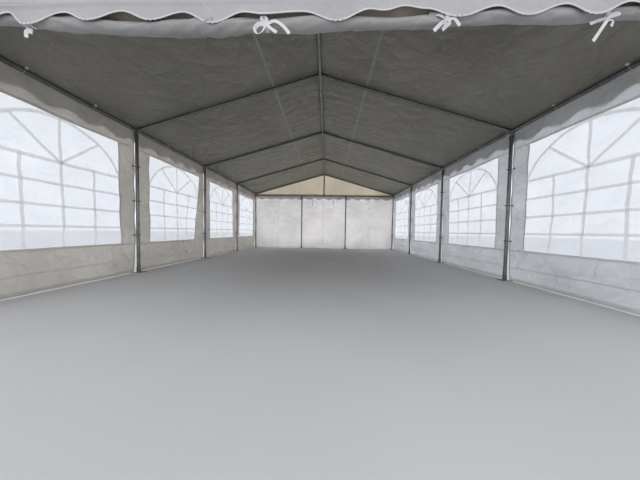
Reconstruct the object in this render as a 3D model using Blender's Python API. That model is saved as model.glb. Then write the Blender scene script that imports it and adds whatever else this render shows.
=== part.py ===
"""Marquee tent: a steel tube frame under a fabric roof, with windowed side walls and an open front.

X runs across the tent, Y along it with the open front at -Y, and Z up. The origin is on the ground,
at the centre of the plan. All sizes are in metres.
"""

import math

import bmesh
import bpy
from mathutils import Matrix, Vector

# The frame's lines: tube axes, across, along and up
HALF_WIDTH = 2.97
BAY = 2.0
BAY_COUNT = 4
EAVE_HEIGHT = 2.31
RIDGE_HEIGHT = 3.17
TIE_BEAM_DROP = 0.06
GABLE_POST_X = 0.95

# Tubes and the sockets of their connectors
TUBE_RADIUS = 0.025
TUBE_SIDES = 16
SOCKET_CLEARANCE = 0.0003
SLEEVE_WALL = 0.004
ARM_LENGTH = 0.12
SOCKET_START = 0.045
SLEEVE_LENGTH = 0.16
END_SLEEVE_LENGTH = 0.09

# Base plates, each with a collar and two anchor holes
PLATE_SIDE = 0.15
PLATE_THICKNESS = 0.008
COLLAR_HEIGHT = 0.09
COLLAR_WALL = 0.004
ANCHOR_HOLE_RADIUS = 0.007
ANCHOR_HOLE_X = 0.054
ANCHOR_HOLE_SIDES = 8

# Fabric, which lies 0.3 mm clear of what carries it
FABRIC = 0.004
SEAT_GAP = 0.0003
PANEL_GAP = 0.012
WALL_TOP_OVER_EAVE = 0.01
VALANCE_CLEARANCE = 0.0047
ROOF_OVERHANG = 0.012
VALANCE_TIP_DROP = 0.225
SCALLOP_HEIGHT = 0.065
SCALLOP_PITCH = 0.415
SCALLOP_STEPS = 8
SHORTEST_STEP = 0.25

# Windows
WINDOW_WIDTH = 1.44
WINDOW_SILL = 0.49
WINDOW_HEAD_DROP = 0.305
PANE_THICKNESS = 0.002

# The front wall, rolled up under the tie beam
ROLL_RADIUS = 0.042
ROLL_HANG = 0.049
ROLL_SIDES = 20
ROLL_END_GAP = 0.04

# Sizes that follow from those above
HALF_LENGTH = BAY * BAY_COUNT / 2
FRAME_LINES = [k * BAY - HALF_LENGTH for k in range(BAY_COUNT + 1)]
SLOPE_RISE = RIDGE_HEIGHT - EAVE_HEIGHT
PITCH_TAN = SLOPE_RISE / HALF_WIDTH
PITCH_COS = HALF_WIDTH / math.hypot(HALF_WIDTH, SLOPE_RISE)
SOCKET_RADIUS = TUBE_RADIUS + SOCKET_CLEARANCE
SLEEVE_RADIUS = SOCKET_RADIUS + SLEEVE_WALL
TIE_BEAM_HEIGHT = EAVE_HEIGHT - TIE_BEAM_DROP
POST_TOP = EAVE_HEIGHT - SOCKET_START - SOCKET_CLEARANCE
WALL_OFFSET = SLEEVE_RADIUS + SEAT_GAP
WALL_X = HALF_WIDTH + WALL_OFFSET
WALL_Y = HALF_LENGTH + WALL_OFFSET
WALL_TOP = EAVE_HEIGHT + WALL_TOP_OVER_EAVE
WALL_FOOT = PLATE_THICKNESS + SEAT_GAP
VALANCE_X = WALL_X + FABRIC + VALANCE_CLEARANCE
GABLE_Y = WALL_Y + FABRIC + SEAT_GAP
ROOF_END_Y = GABLE_Y + FABRIC + ROOF_OVERHANG
ROOF_APEX = RIDGE_HEIGHT + WALL_OFFSET / PITCH_COS
VALANCE_TIP = EAVE_HEIGHT - VALANCE_TIP_DROP
WINDOW_HEAD = EAVE_HEIGHT - WINDOW_HEAD_DROP
ROLL_CENTRE_HEIGHT = TIE_BEAM_HEIGHT - SLEEVE_RADIUS - ROLL_HANG - ROLL_RADIUS

ACROSS = Vector((1, 0, 0))
ALONG = Vector((0, 1, 0))
UP = Vector((0, 0, 1))


def material(name, colour, roughness, metallic=0.0, alpha=1.0):
    made = bpy.data.materials.new(name)
    made.use_nodes = True
    shader = made.node_tree.nodes["Principled BSDF"]
    shader.inputs["Base Color"].default_value = (*colour, 1.0)
    shader.inputs["Roughness"].default_value = roughness
    shader.inputs["Metallic"].default_value = metallic
    shader.inputs["Alpha"].default_value = alpha
    return made


def add_object(name, mesh, surface=None):
    made = bpy.data.objects.new(name, mesh)
    bpy.context.scene.collection.objects.link(made)
    if surface:
        mesh.materials.append(surface)
    return made


def finish_mesh(name, shape):
    bmesh.ops.recalc_face_normals(shape, faces=shape.faces)
    mesh = bpy.data.meshes.new(name)
    shape.to_mesh(mesh)
    shape.free()
    return mesh


def add_cylinder(shape, start, end, radius, sides=TUBE_SIDES):
    """Adds a closed cylinder between two points to a bmesh."""
    start, end = Vector(start), Vector(end)
    direction = end - start
    turn = UP.rotation_difference(direction).to_matrix().to_4x4()
    place = Matrix.Translation((start + end) / 2) @ turn
    bmesh.ops.create_cone(
        shape, cap_ends=True, segments=sides, radius1=radius, radius2=radius,
        depth=direction.length, matrix=place,
    )


def cylinders_mesh(name, cylinders):
    """A mesh of closed cylinders, each given as (start, end, radius)."""
    shape = bmesh.new()
    for start, end, radius in cylinders:
        add_cylinder(shape, start, end, radius)
    return finish_mesh(name, shape)


def apply_boolean(target, name, mesh, operation):
    """Joins a helper mesh to the target or cuts it away, and keeps the result as the target's own mesh."""
    helper = bpy.data.objects.new(name, mesh)
    bpy.context.scene.collection.objects.link(helper)
    modifier = target.modifiers.new(name, "BOOLEAN")
    modifier.operation = operation
    modifier.object = helper
    modifier.use_self = True
    graph = bpy.context.evaluated_depsgraph_get()
    result = bpy.data.meshes.new_from_object(target.evaluated_get(graph))
    target.modifiers.clear()
    target.data = result
    bpy.data.objects.remove(helper)


def tube(name, start, end, surface):
    """A tube between two points, shaded smooth round its side."""
    made = add_object(name, cylinders_mesh(name, [(start, end, TUBE_RADIUS)]), surface)
    shade_round(made)
    return made


def shade_round(made):
    made.data.shade_smooth()
    made.data.set_sharp_from_angle(angle=math.radians(35))


def socket_tube(name, tube_ends, arms, surface):
    """A tube with connectors joined to it. Each arm is (root, direction, socket start, length)."""
    start, end = tube_ends
    made = add_object(name, cylinders_mesh(name, [(start, end, TUBE_RADIUS)]), surface)
    outer = []
    bores = []
    for root, direction, socket_start, length in arms:
        root, direction = Vector(root), Vector(direction).normalized()
        tip = root + direction * length
        outer.append((root, tip, SLEEVE_RADIUS))
        if socket_start is not None:
            bores.append((root + direction * socket_start, tip + direction * TUBE_RADIUS, SOCKET_RADIUS))
    apply_boolean(made, "connector_arms", cylinders_mesh("connector_arms", outer), "UNION")
    apply_boolean(made, "connector_bores", cylinders_mesh("connector_bores", bores), "DIFFERENCE")
    shade_round(made)
    return made


def sleeve_arm(centre, direction):
    """A plain sleeve round the carrying tube, centred on a joint."""
    root = Vector(centre) - Vector(direction).normalized() * SLEEVE_LENGTH / 2
    return (root, direction, None, SLEEVE_LENGTH)


def clamped_sleeve(y):
    """The sleeve of one frame line along a rail, kept inside the rail's two ends."""
    low = max(y - SLEEVE_LENGTH / 2, -HALF_LENGTH - SLEEVE_RADIUS)
    high = min(y + SLEEVE_LENGTH / 2, HALF_LENGTH + SLEEVE_RADIUS)
    return low, high - low


def box_into(shape, low, high):
    low, high = Vector(low), Vector(high)
    place = Matrix.Translation((low + high) / 2) @ Matrix.Diagonal((*(high - low), 1.0))
    bmesh.ops.create_cube(shape, size=1.0, matrix=place)


def standing_post(name, x, y, top, surface):
    """A post: square base plate with two anchor holes, a collar and the tube."""
    half = PLATE_SIDE / 2
    plate = bmesh.new()
    box_into(plate, (x - half, y - half, 0), (x + half, y + half, PLATE_THICKNESS))
    made = add_object(name, finish_mesh(name, plate), surface)
    middle = PLATE_THICKNESS / 2
    collar_radius = TUBE_RADIUS + COLLAR_WALL
    stem = [
        ((x, y, middle), (x, y, top), TUBE_RADIUS),
        ((x, y, middle), (x, y, COLLAR_HEIGHT), collar_radius),
    ]
    apply_boolean(made, "post_stem", cylinders_mesh("post_stem", stem), "UNION")
    holes = bmesh.new()
    for side in (-1, 1):
        hole_x = x + side * ANCHOR_HOLE_X
        add_cylinder(
            holes, (hole_x, y, -PLATE_THICKNESS), (hole_x, y, 2 * PLATE_THICKNESS),
            ANCHOR_HOLE_RADIUS, ANCHOR_HOLE_SIDES,
        )
    apply_boolean(made, "anchor_holes", finish_mesh("anchor_holes", holes), "DIFFERENCE")
    shade_round(made)
    return made


def prism(name, outline, offset, surface):
    """A sheet cut to a flat outline and thickened by an offset vector."""
    shape = bmesh.new()
    near = [shape.verts.new(point) for point in outline]
    far = [shape.verts.new(Vector(point) + Vector(offset)) for point in outline]
    shape.faces.new(near)
    shape.faces.new(list(reversed(far)))
    for i in range(len(near)):
        j = (i + 1) % len(near)
        shape.faces.new((near[j], near[i], far[i], far[j]))
    return add_object(name, finish_mesh(name, shape), surface)


def scalloped_edge(half_span):
    """Points (distance along, height) of a scalloped hem, with the top of an arch at its middle."""
    step = SCALLOP_PITCH / SCALLOP_STEPS
    whole_steps = int(half_span / step - SHORTEST_STEP)
    stations = [k * step for k in range(-whole_steps, whole_steps + 1)]
    points = []
    for along in (-half_span, *stations, half_span):
        rise = (1 + math.cos(2 * math.pi * along / SCALLOP_PITCH)) / 2
        points.append((along, VALANCE_TIP + SCALLOP_HEIGHT * rise))
    return points


def build_posts(steel):
    for number, y in enumerate(FRAME_LINES, start=1):
        standing_post(f"post_left_{number}", -HALF_WIDTH, y, POST_TOP, steel)
        standing_post(f"post_right_{number}", HALF_WIDTH, y, POST_TOP, steel)
    top = TIE_BEAM_HEIGHT - SOCKET_START - SOCKET_CLEARANCE
    standing_post("gable_post_left", -GABLE_POST_X, HALF_LENGTH, top, steel)
    standing_post("gable_post_right", GABLE_POST_X, HALF_LENGTH, top, steel)


def build_eave_rails(steel):
    """Each rail carries a connector at every frame: one arm down to the post and one up to the rafter."""
    for side, name in ((-1, "eave_rail_left"), (1, "eave_rail_right")):
        x = side * HALF_WIDTH
        arms = []
        for y in FRAME_LINES:
            node = Vector((x, y, EAVE_HEIGHT))
            low, length = clamped_sleeve(y)
            arms.append(((x, low, EAVE_HEIGHT), ALONG, None, length))
            arms.append((node, -UP, SOCKET_START, ARM_LENGTH))
            arms.append((node, (-side, 0, PITCH_TAN), SOCKET_START, ARM_LENGTH))
        ends = ((x, -HALF_LENGTH, EAVE_HEIGHT), (x, HALF_LENGTH, EAVE_HEIGHT))
        socket_tube(name, ends, arms, steel)


def build_ridge_pole(steel):
    arms = []
    for y in FRAME_LINES:
        node = Vector((0, y, RIDGE_HEIGHT))
        low, length = clamped_sleeve(y)
        arms.append(((0, low, RIDGE_HEIGHT), ALONG, None, length))
        arms.append((node, (-1, 0, -PITCH_TAN), SOCKET_START, ARM_LENGTH))
        arms.append((node, (1, 0, -PITCH_TAN), SOCKET_START, ARM_LENGTH))
    for y in (FRAME_LINES[0], FRAME_LINES[-1]):
        arms.append(((0, y, RIDGE_HEIGHT), -UP, SOCKET_START, ARM_LENGTH))
    ends = ((0, -HALF_LENGTH, RIDGE_HEIGHT), (0, HALF_LENGTH, RIDGE_HEIGHT))
    socket_tube("ridge_pole", ends, arms, steel)


def build_rafters(steel):
    inset = SOCKET_START + SOCKET_CLEARANCE
    for number, y in enumerate(FRAME_LINES, start=1):
        for side, word in ((-1, "left"), (1, "right")):
            eave = Vector((side * HALF_WIDTH, y, EAVE_HEIGHT))
            ridge = Vector((0, y, RIDGE_HEIGHT))
            slope = (ridge - eave).normalized()
            tube(f"rafter_{word}_{number}", eave + slope * inset, ridge - slope * inset, steel)


def build_gable_frames(steel):
    """A tie beam and a king post at each end. The back beam also holds the two gable posts.

    Each beam ends in a sleeve that meets the post connectors of the eave rails.
    """
    reach = HALF_WIDTH - SLEEVE_RADIUS - SEAT_GAP
    inset = SOCKET_START + SOCKET_CLEARANCE
    ends = (
        (-HALF_LENGTH, "front", ()),
        (HALF_LENGTH, "back", (-GABLE_POST_X, GABLE_POST_X)),
    )
    for y, word, post_lines in ends:
        middle = Vector((0, y, TIE_BEAM_HEIGHT))
        arms = [sleeve_arm(middle, ACROSS), (middle, UP, SOCKET_START, ARM_LENGTH)]
        for side in (-1, 1):
            tip = (side * reach, y, TIE_BEAM_HEIGHT)
            arms.append((tip, -side * ACROSS, None, END_SLEEVE_LENGTH))
        for x in post_lines:
            joint = Vector((x, y, TIE_BEAM_HEIGHT))
            arms.append(sleeve_arm(joint, ACROSS))
            arms.append((joint, -UP, SOCKET_START, ARM_LENGTH))
        beam = ((-reach, y, TIE_BEAM_HEIGHT), (reach, y, TIE_BEAM_HEIGHT))
        socket_tube(f"tie_beam_{word}", beam, arms, steel)
        tube(f"king_post_{word}", middle + UP * inset, (0, y, RIDGE_HEIGHT - inset), steel)


def build_roof_cover(fabric):
    """Both slopes and the two side valances, as one sheet folded over the ridge and the eaves."""
    shape = bmesh.new()
    hem = scalloped_edge(ROOF_END_Y)
    skins = []
    for shift in (0.0, FABRIC):
        apex = ROOF_APEX + shift / PITCH_COS
        eave_x = VALANCE_X + shift
        eave_z = apex - eave_x * PITCH_TAN
        skin = {"ridge": [shape.verts.new((0, y, apex)) for y in (-ROOF_END_Y, ROOF_END_Y)]}
        for side in (-1, 1):
            x = side * eave_x
            skin[side, "eave"] = [shape.verts.new((x, y, eave_z)) for y in (-ROOF_END_Y, ROOF_END_Y)]
            skin[side, "hem"] = [shape.verts.new((x, y, z)) for y, z in hem]
        skins.append(skin)
    inner, outer = skins
    for skin in skins:
        for side in (-1, 1):
            ridge, eave = skin["ridge"], skin[side, "eave"]
            shape.faces.new((ridge[0], ridge[1], eave[1], eave[0]))
            shape.faces.new([eave[0], eave[1], *reversed(skin[side, "hem"])])
    for end in (0, 1):
        for side in (-1, 1):
            a, b = (inner["ridge"][end], outer["ridge"][end])
            c, d = (inner[side, "eave"][end], outer[side, "eave"][end])
            e, f = (inner[side, "hem"][-end], outer[side, "hem"][-end])
            shape.faces.new((a, b, d, c))
            shape.faces.new((c, d, f, e))
    for side in (-1, 1):
        inner_hem, outer_hem = inner[side, "hem"], outer[side, "hem"]
        for i in range(len(hem) - 1):
            shape.faces.new((inner_hem[i], inner_hem[i + 1], outer_hem[i + 1], outer_hem[i]))
    add_object("roof_cover", finish_mesh("roof_cover", shape), fabric)


def build_gables(fabric):
    """The triangle of fabric closing each end, with its scalloped valance."""
    eave_x = VALANCE_X - SEAT_GAP
    top = ROOF_APEX - SEAT_GAP / PITCH_COS
    for side, word in ((-1, "front"), (1, "back")):
        y = side * GABLE_Y
        outline = [(0, y, top), (-eave_x, y, top - eave_x * PITCH_TAN)]
        outline += [(x, y, z) for x, z in scalloped_edge(eave_x)]
        outline += [(eave_x, y, top - eave_x * PITCH_TAN)]
        prism(f"gable_{word}", outline, (0, side * FABRIC, 0), fabric)


def wall_with_window(name, x, thickness_x, y_low, y_high, surface):
    """One side panel: a sheet with a rectangular window cut through it."""
    centre = (y_low + y_high) / 2
    outer = [(y_low, WALL_FOOT), (y_high, WALL_FOOT), (y_high, WALL_TOP), (y_low, WALL_TOP)]
    half = WINDOW_WIDTH / 2
    inner = [
        (centre - half, WINDOW_SILL), (centre + half, WINDOW_SILL),
        (centre + half, WINDOW_HEAD), (centre - half, WINDOW_HEAD),
    ]
    shape = bmesh.new()
    rings = []
    for depth in (0.0, thickness_x):
        rings.append([[shape.verts.new((x + depth, y, z)) for y, z in ring] for ring in (outer, inner)])
    (near_outer, near_inner), (far_outer, far_inner) = rings
    for i in range(4):
        j = (i + 1) % 4
        shape.faces.new((near_outer[i], near_outer[j], near_inner[j], near_inner[i]))
        shape.faces.new((far_outer[j], far_outer[i], far_inner[i], far_inner[j]))
        shape.faces.new((near_outer[j], near_outer[i], far_outer[i], far_outer[j]))
        shape.faces.new((near_inner[i], near_inner[j], far_inner[j], far_inner[i]))
    add_object(name, finish_mesh(name, shape), surface)


def window_pane(name, x, thickness_x, centre, surface):
    """The clear sheet that fills a panel's window, flush with the panel's middle."""
    half = WINDOW_WIDTH / 2 - SEAT_GAP
    low, high = WINDOW_SILL + SEAT_GAP, WINDOW_HEAD - SEAT_GAP
    outline = [
        (x, centre - half, low), (x, centre + half, low),
        (x, centre + half, high), (x, centre - half, high),
    ]
    prism(name, outline, (thickness_x, 0, 0), surface)


def build_side_walls(fabric, clear):
    for side, word in ((-1, "left"), (1, "right")):
        for number in range(1, BAY_COUNT + 1):
            front, back = FRAME_LINES[number - 1], FRAME_LINES[number]
            low = front + PANEL_GAP / 2
            high = back - PANEL_GAP / 2
            wall_name = f"wall_{word}_{number}"
            wall_with_window(wall_name, side * WALL_X, side * FABRIC, low, high, fabric)
            pane_x = side * (WALL_X + (FABRIC - PANE_THICKNESS) / 2)
            pane_name = f"window_{word}_{number}"
            window_pane(pane_name, pane_x, side * PANE_THICKNESS, (front + back) / 2, clear)


def build_back_wall(fabric):
    half = WALL_X - SEAT_GAP
    corners = ((-half, WALL_FOOT), (half, WALL_FOOT), (half, WALL_TOP), (-half, WALL_TOP))
    outline = [(x, WALL_Y, z) for x, z in corners]
    prism("back_wall", outline, (0, FABRIC, 0), fabric)


def build_rolled_front_wall(fabric):
    """The front wall, hooked over the tie beam and rolled up towards the outside.

    From the beam the sheet slants down to the roll, and meets it as a tangent on the roll's inner side.
    """
    half = HALF_WIDTH - ROLL_END_GAP
    face = -WALL_Y
    centre = Vector((face + ROLL_RADIUS - FABRIC, ROLL_CENTRE_HEIGHT))
    bend = Vector((face, TIE_BEAM_HEIGHT - WALL_OFFSET))
    reach = bend - centre
    touch = math.atan2(reach.y, reach.x) - math.acos(ROLL_RADIUS / reach.length)
    outward = Vector((math.cos(touch), math.sin(touch)))
    slant = Vector((outward.y, -outward.x))
    lower_bend = bend - FABRIC * outward
    lower_bend -= slant * (lower_bend.x - face + FABRIC) / slant.x
    first = touch + math.acos(1 - FABRIC / ROLL_RADIUS)
    outline = [(face, WALL_TOP), (face - FABRIC, WALL_TOP), tuple(lower_bend)]
    for i in range(ROLL_SIDES + 1):
        angle = first + (2 * math.pi + touch - first) * i / ROLL_SIDES
        y = centre.x + ROLL_RADIUS * math.cos(angle)
        z = centre.y + ROLL_RADIUS * math.sin(angle)
        outline.append((y, z))
    outline.append(tuple(bend))
    points = [(-half, y, z) for y, z in outline]
    prism("front_wall_roll", points, (2 * half, 0, 0), fabric)


def main():
    for leftover in list(bpy.data.objects):
        bpy.data.objects.remove(leftover)
    steel = material("galvanised_steel", (0.42, 0.44, 0.45), 0.38, metallic=0.9)
    fabric = material("white_fabric", (0.80, 0.80, 0.79), 0.6)
    clear = material("clear_sheet", (0.85, 0.88, 0.92), 0.1, alpha=0.35)
    build_posts(steel)
    build_eave_rails(steel)
    build_ridge_pole(steel)
    build_rafters(steel)
    build_gable_frames(steel)
    build_roof_cover(fabric)
    build_gables(fabric)
    build_side_walls(fabric, clear)
    build_back_wall(fabric)
    build_rolled_front_wall(fabric)


main()
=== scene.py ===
import math

import bpy
import numpy as np
from mathutils import Matrix, Vector


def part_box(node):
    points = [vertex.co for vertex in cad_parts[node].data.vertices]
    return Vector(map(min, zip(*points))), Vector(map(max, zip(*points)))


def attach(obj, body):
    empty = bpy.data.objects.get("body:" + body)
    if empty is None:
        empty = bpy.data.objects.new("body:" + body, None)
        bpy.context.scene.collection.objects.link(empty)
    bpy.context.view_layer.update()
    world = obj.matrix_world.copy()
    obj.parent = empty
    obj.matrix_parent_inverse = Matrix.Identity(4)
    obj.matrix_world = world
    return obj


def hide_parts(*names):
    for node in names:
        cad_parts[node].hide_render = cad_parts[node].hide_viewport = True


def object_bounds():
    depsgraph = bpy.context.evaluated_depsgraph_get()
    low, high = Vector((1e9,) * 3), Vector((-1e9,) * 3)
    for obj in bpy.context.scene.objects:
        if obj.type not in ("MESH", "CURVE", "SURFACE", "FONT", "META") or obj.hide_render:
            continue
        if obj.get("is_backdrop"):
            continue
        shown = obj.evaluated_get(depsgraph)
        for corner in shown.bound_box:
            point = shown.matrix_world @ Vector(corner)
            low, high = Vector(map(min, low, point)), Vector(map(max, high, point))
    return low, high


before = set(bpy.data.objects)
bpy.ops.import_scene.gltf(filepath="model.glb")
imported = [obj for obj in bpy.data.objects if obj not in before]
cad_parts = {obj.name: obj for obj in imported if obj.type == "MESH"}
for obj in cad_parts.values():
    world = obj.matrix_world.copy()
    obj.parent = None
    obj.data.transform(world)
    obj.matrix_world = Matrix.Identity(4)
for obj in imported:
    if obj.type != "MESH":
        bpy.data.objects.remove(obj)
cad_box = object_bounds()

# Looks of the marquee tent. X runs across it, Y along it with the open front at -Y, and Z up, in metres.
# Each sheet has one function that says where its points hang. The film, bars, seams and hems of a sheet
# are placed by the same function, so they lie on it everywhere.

# The frame's lines, as in the model's source
HALF_WIDTH = 2.97
HALF_LENGTH = 4.0
BAY = 2.0
EAVE_HEIGHT = 2.31
RIDGE_HEIGHT = 3.17
BEAM_HEIGHT = 2.25
TUBE_RADIUS = 0.025
SLEEVE_RADIUS = 0.0293
FRAME_LINES = (-4.0, -2.0, 0.0, 2.0, 4.0)
GABLE_POST_X = 0.95
PITCH = (RIDGE_HEIGHT - EAVE_HEIGHT) / HALF_WIDTH
PITCH_COS = 1 / math.hypot(1, PITCH)
PITCH_SIN = PITCH * PITCH_COS
WORDS = {-1: "left", 1: "right"}

# Sheets. Each one lies in the middle of the space that its solid holds
CLOTH = 0.0012
ROOF_TOP = 3.2030
ROOF_TURN_X = 3.0103
ROOF_TURN_Z = ROOF_TOP - ROOF_TURN_X * PITCH
ROOF_END_Y = 4.0495
WALL_X = 3.0016
WALL_FOOT = 0.0088
WALL_TOP = 2.3195
BACK_Y = 4.0316
GABLE_Y = 4.0359
GABLE_HALF = 3.0075
GABLE_TOP = 3.1995
HEM_TIP = 2.085
HEM_RISE = 0.065
HEM_PITCH = 0.415
WINDOW_HALF = 0.72
WINDOW_SILL = 0.49
WINDOW_HEAD = 2.005
BAND_HEIGHTS = (1.73, 1.17, 0.62)
BAR_WIDTH = 0.03
SEAM_X = 0.73

# Tapes, hems and bars lie between two depths, measured inwards from the outer face of their sheet
TAPE_DEPTHS = (CLOTH + 0.0002, CLOTH + 0.0012)
ROOF_TAPE_DEPTHS = (CLOTH + 0.0002, CLOTH + 0.0014)
HEM_DEPTHS = (-0.0012, CLOTH + 0.0012)
BAR_DEPTHS = (CLOTH / 2 + 0.0004, CLOTH / 2 + 0.0016)
TAPE_STEP = 0.035

# The bars of a window: where they meet, and the arch over them
BAR_HUB = 1.48
ARCH_RADIUS = 0.772
ARCH_CENTRE = 1.222

# Elastic ties: balls along the rails, and bands with toggles across the posts
BALL_RADIUS = 0.0135
LOOP_GAP = 0.0026
BAND_RADIUS = 0.0285
BAND_REACH = 0.052
BAND_X = 2.9955
EYELET_PROFILE = [(-0.0012, 0.006), (-0.0016, 0.008), (-0.0012, 0.011), (0.0006, 0.0115), (0.0012, 0.011)]
TOGGLE_PROFILE = [(-0.017, 0.004), (-0.015, 0.0065), (0.0, 0.0075), (0.015, 0.0065), (0.017, 0.004)]

# The front wall, rolled up under the front beam: (x, height of the middle, radius)
ROLL_Y = -3.9916
ROLL_END = 2.928
ROLL_TURNS = 13
ROLL_LINE = (
    (-2.95, 2.178, 0.035), (-2.20, 2.186, 0.033), (-2.00, 2.168, 0.030), (-1.81, 2.153, 0.043),
    (-1.59, 2.140, 0.045), (-1.41, 2.123, 0.041), (-1.26, 2.107, 0.038), (-1.05, 2.105, 0.043),
    (-0.90, 2.107, 0.048), (-0.76, 2.108, 0.052), (-0.59, 2.113, 0.052), (-0.48, 2.120, 0.047),
    (-0.40, 2.124, 0.039), (-0.30, 2.120, 0.033), (-0.20, 2.115, 0.037), (-0.06, 2.118, 0.046),
    (0.04, 2.121, 0.047), (0.14, 2.127, 0.042), (0.28, 2.126, 0.035), (0.45, 2.128, 0.036),
    (0.55, 2.122, 0.031), (0.72, 2.129, 0.033), (0.82, 2.133, 0.038), (0.93, 2.142, 0.032),
    (1.11, 2.153, 0.038), (1.28, 2.164, 0.042), (1.44, 2.161, 0.042), (1.73, 2.162, 0.042),
    (1.83, 2.162, 0.038), (1.92, 2.170, 0.032), (2.05, 2.173, 0.034), (2.95, 2.172, 0.037),
)

# The front valance hangs unevenly: (across, height) of the tips and arch tops of its hem
FRONT_HEM = (
    (-3.10, 2.185), (-2.905, 2.183), (-2.70, 2.105), (-2.49, 2.183), (-2.30, 2.105), (-2.06, 2.182),
    (-1.949, 2.099), (-1.66, 2.173), (-1.50, 2.117), (-1.255, 2.172), (-1.067, 2.115), (-0.84, 2.164),
    (-0.644, 2.091), (-0.43, 2.158), (-0.30, 2.143), (-0.03, 2.158), (0.186, 2.099), (0.40, 2.169),
    (0.49, 2.159), (0.624, 2.185), (0.76, 2.167), (0.97, 2.114), (1.215, 2.178), (1.40, 2.122),
    (1.633, 2.186), (1.815, 2.112), (2.034, 2.192), (2.26, 2.112), (2.48, 2.190), (2.69, 2.112),
    (2.90, 2.190), (3.10, 2.185),
)

# The ribbons that tie the roll. Each has its knot at (across, height) and its ends and loops as lines of
# (across, up, out) from the knot, with how far each is turned to face upwards
TIES = (
    (-1.945, 2.094, (
        (0.1, (-0.075, 0.095, -0.018), (-0.030, 0.040, 0.004), (0.0, 0.0, 0.006)),
        (0.1, (-0.050, 0.088, -0.018), (-0.018, 0.036, 0.004), (0.004, 0.0, 0.006)),
        (0.3, (0.0, 0.0, 0.004), (-0.014, -0.022, 0.010), (-0.022, -0.058, 0.006)),
        (0.5, (0.0, 0.0, 0.004), (0.016, -0.010, 0.014), (0.012, -0.034, 0.008)),
    )),
    (-0.285, 2.092, (
        (0.2, (0.010, 0.004, 0.004), (0.062, 0.012, 0.014), (0.115, -0.016, 0.010), (0.158, -0.062, 0.006)),
        (0.6, (0.0, 0.0, 0.004), (-0.045, -0.008, 0.016), (-0.074, -0.034, 0.010), (-0.058, -0.058, 0.004),
         (-0.022, -0.048, 0.010), (0.0, -0.006, 0.008)),
        (0.5, (0.0, 0.002, 0.004), (-0.030, 0.034, 0.014), (-0.020, 0.052, 0.006), (0.004, 0.036, 0.012),
         (0.004, 0.0, 0.008)),
        (0.2, (0.006, -0.002, 0.006), (0.030, -0.028, 0.010), (0.072, -0.052, 0.004)),
    )),
    (0.905, 2.106, (
        (0.1, (-0.115, 0.062, -0.014), (-0.055, 0.034, 0.006), (0.0, 0.0, 0.006)),
        (0.3, (0.0, 0.0, 0.004), (-0.040, -0.022, 0.012), (-0.088, -0.066, 0.006)),
        (0.7, (0.0, 0.0, 0.004), (-0.012, 0.030, 0.016), (-0.018, -0.010, 0.018), (-0.020, -0.050, 0.006)),
        (0.1, (0.0, 0.0, 0.006), (0.034, 0.004, 0.014), (0.078, -0.036, 0.006)),
        (0.6, (0.0, 0.0, 0.004), (0.010, -0.022, 0.014), (-0.034, -0.060, 0.006)),
    )),
    (1.918, 2.112, (
        (0.2, (0.016, 0.038, -0.006), (0.004, 0.010, 0.012), (-0.028, -0.045, 0.012), (-0.078, -0.134, 0.004)),
        (0.5, (-0.104, -0.026, 0.004), (-0.050, -0.008, 0.014), (0.0, 0.004, 0.012), (0.056, 0.022, 0.010),
         (0.062, 0.036, 0.002), (0.020, 0.026, 0.0)),
        (0.4, (0.004, 0.0, 0.004), (0.030, -0.016, 0.012), (0.026, -0.044, 0.006)),
    )),
)


# Small tools for shapes

def smooth_step(value, low, high):
    share = np.clip((value - low) / (high - low), 0, 1)
    return share * share * (3 - 2 * share)


def ripple(a, b, length, seed, waves=7):
    """Smooth irregular waves, mostly between -1 and 1, about one length apart."""
    total = 0
    for i in range(waves):
        angle = 2.4 * i + seed
        pace = 2 * math.pi / length * (0.65 + 0.7 * ((0.618 * i + 0.37 * seed) % 1))
        total = total + np.sin(pace * (a * math.cos(angle) + b * math.sin(angle)) + 1.7 * seed + i * i)
    return total / math.sqrt(2 * waves) * 1.3


def fold(a, b, start, end, width, height):
    """A soft straight fold in a sheet, highest near its start and dying out towards its end."""
    run_a, run_b = end[0] - start[0], end[1] - start[1]
    length = math.hypot(run_a, run_b)
    share = ((a - start[0]) * run_a + (b - start[1]) * run_b) / length**2
    off = ((a - start[0]) * run_b - (b - start[1]) * run_a) / length
    return height * np.exp(-((off / width) ** 2)) * smooth_step(share, -0.05, 0.12) * smooth_step(share, 1, 0.4)


def eased(x, knots):
    """A line through (place, value) knots that is level at every knot."""
    knots = np.array(knots)
    k = np.clip(np.searchsorted(knots[:, 0], x) - 1, 0, len(knots) - 2)
    share = (x - knots[k, 0]) / (knots[k + 1, 0] - knots[k, 0])
    share = np.clip(share, 0, 1)
    return knots[k, 1] + (knots[k + 1, 1] - knots[k, 1]) * (1 - np.cos(math.pi * share)) / 2


def smooth_path(points, spacing=0.006):
    """A smooth path in space through a few points."""
    points = np.asarray(points, float)
    ends = np.vstack([2 * points[0] - points[1], points, 2 * points[-1] - points[-2]])
    made = []
    for k in range(1, len(ends) - 2):
        a, b, c, d = ends[k - 1:k + 3]
        count = max(3, int(np.linalg.norm(c - b) / spacing))
        for t in np.linspace(0, 1, count, endpoint=False):
            bend = (2 * a - 5 * b + 4 * c - d) * t**2 + (3 * b - a - 3 * c + d) * t**3
            made.append(0.5 * (2 * b + (c - a) * t + bend))
    return np.array([*made, points[-1]])


def steps(low, high, spacing):
    return np.linspace(low, high, max(2, round((high - low) / spacing) + 1))


def grid_faces(rows, columns, keep=None):
    index = np.arange(rows * columns).reshape(rows, columns)
    quads = np.stack([index[:-1, :-1], index[:-1, 1:], index[1:, 1:], index[1:, :-1]], axis=-1)
    return quads.reshape(-1, 4) if keep is None else quads[keep]


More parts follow.
